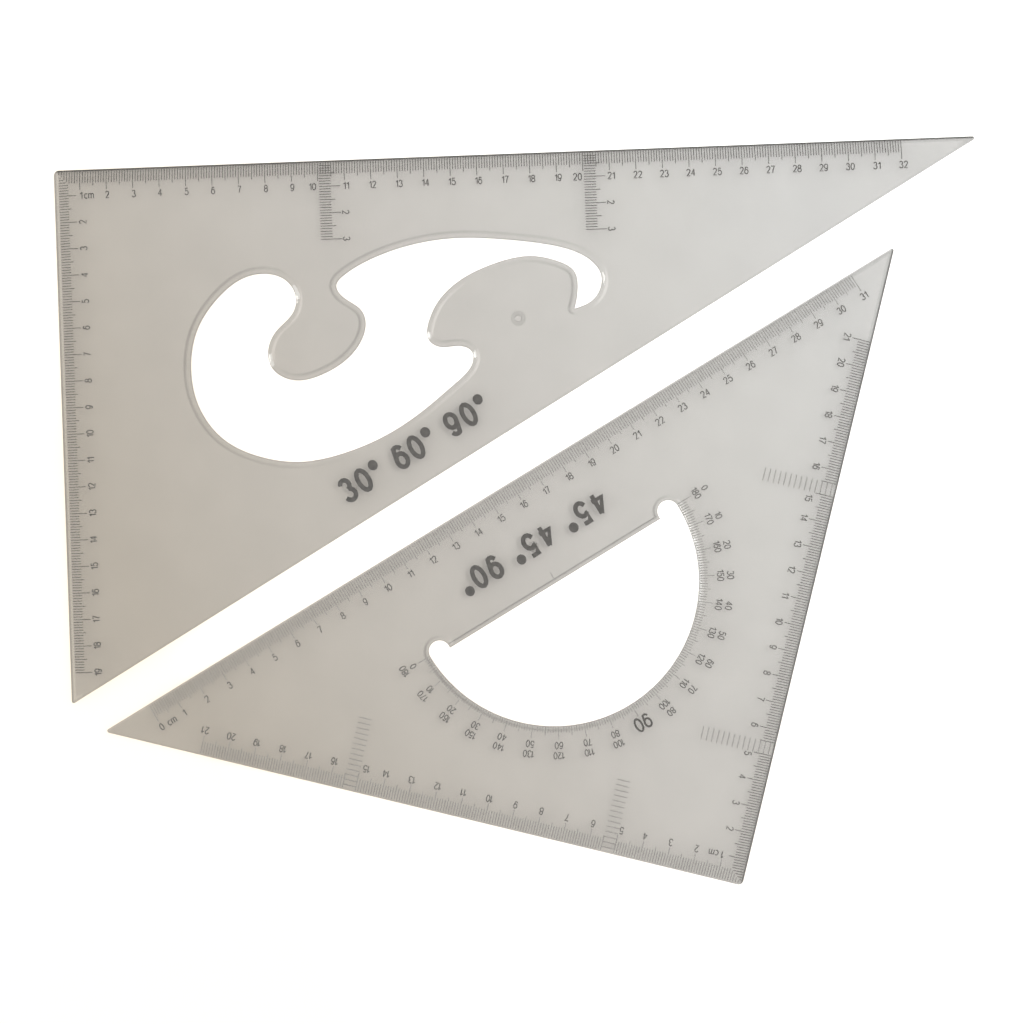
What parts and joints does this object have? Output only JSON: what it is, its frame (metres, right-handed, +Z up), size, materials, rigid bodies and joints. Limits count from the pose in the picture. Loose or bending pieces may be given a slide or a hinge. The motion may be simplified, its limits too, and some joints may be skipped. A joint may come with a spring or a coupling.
{
  "type": "set square",
  "caption": "Matched pair of clear plastic set squares, one 30/60/90 with a French curve cut-out and one 45/45/90 with a protractor cut-out, lying flat with printed scales.",
  "frame": {"origin": "under the middle of the pair's bounding box, on the table that it lies on", "axes": "+X along the long leg of the 30/60/90 square from its right angle to its 30 degree tip, +Y from the other square towards that leg, +Z up out of the table, on the printed side"},
  "size_m": [0.3478, 0.2784, 0.003],
  "materials": {
    "clear_plastic": "transparent, faint grey-brown tint, polished",
    "print_ink": "thin black screen print",
    "ladder_ink": "thin dark grey screen print"
  },
  "bodies": {
    "square_30_60_90": {"plate_30_60_90": "clear_plastic", "long_leg_scale": "print_ink", "short_leg_scale": "print_ink", "cross_scale_at_10_cm": "print_ink", "cross_scale_at_20_cm": "print_ink"},
    "square_45_45_90": {"plate_45_45_90": "clear_plastic", "hypotenuse_scale": "print_ink", "left_leg_scale": "print_ink", "right_leg_scale": "print_ink", "left_ladder_at_5_cm": "ladder_ink", "left_ladder_at_15_cm": "ladder_ink", "right_ladder_at_5_cm": "ladder_ink", "right_ladder_at_15_cm": "ladder_ink", "protractor_scale": "print_ink", "protractor_base_line": "print_ink"}
  },
  "joints": [
    {"name": "slide_along_hypotenuse", "type": "slide", "parent": "square_30_60_90", "child": "square_45_45_90", "axis": [0.866, 0.5, 0], "range_m": [-0.1, 0.1]}
  ]
}
